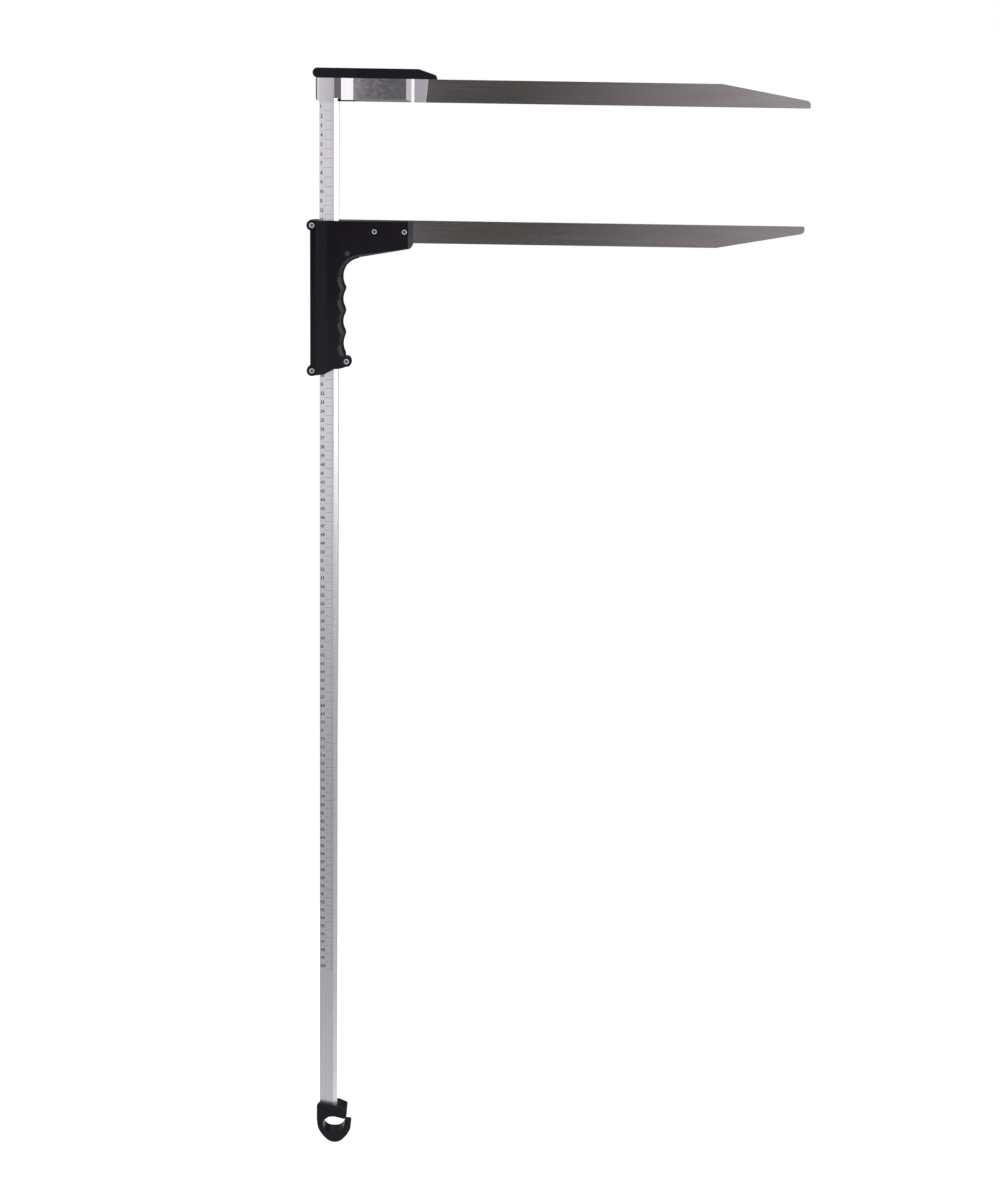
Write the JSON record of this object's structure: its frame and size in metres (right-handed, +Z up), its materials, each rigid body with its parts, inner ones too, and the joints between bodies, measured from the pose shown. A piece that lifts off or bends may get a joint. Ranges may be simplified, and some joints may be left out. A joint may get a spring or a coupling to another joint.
{
  "type": "tree caliper",
  "caption": "Forestry caliper: upright scale beam with a fixed jaw at the top, a jaw that slides along the beam on a finger-grooved grip, and a hook at the foot.",
  "frame": {"origin": "the zero of the scale on the beam's centre line, level with the fixed jaw's measuring edge, where a hand or clamp round the beam holds it up", "axes": "+Z up along the beam towards the fixed jaw, +X from the beam along the jaws, +Y away from the printed face"},
  "size_m": [0.5428, 0.029, 1.2564],
  "materials": {
    "anodised_beam": "silver anodised extrusion, satin",
    "stainless_blade": "brushed lengthways",
    "bracket_steel": "polished sheet",
    "black_plastic": "moulded, fine texture",
    "glide_plastic": "low-friction plastic",
    "bright_screw": "zinc-plated",
    "dark_screw": "blackened"
  },
  "bodies": {
    "beam_frame": {"beam": "anodised_beam", "fixed_jaw_blade": "stainless_blade", "jaw_bracket": "bracket_steel", "jaw_core": "black_plastic", "blade_screws": "bright_screw", "beam_screws": "bright_screw", "top_cap": "black_plastic", "cap_screw": "dark_screw", "end_hook": "black_plastic", "hook_screw": "dark_screw"},
    "sliding_jaw": {"handle_front_shell": "black_plastic", "handle_rear_shell": "black_plastic", "moving_jaw_blade": "stainless_blade", "glide_top_left": "glide_plastic", "glide_top_right": "glide_plastic", "glide_bottom_left": "glide_plastic", "glide_bottom_right": "glide_plastic", "lug_screws": "bright_screw", "lug_nuts": "bright_screw", "corner_screw": "dark_screw", "corner_nut": "bright_screw", "arm_screws": "bright_screw", "arm_nuts": "bright_screw"}
  },
  "joints": [
    {"name": "jaw_slide", "type": "slide", "parent": "beam_frame", "child": "sliding_jaw", "axis": [0, 0, -1], "range_m": [-0.1252, 0.8745]}
  ]
}
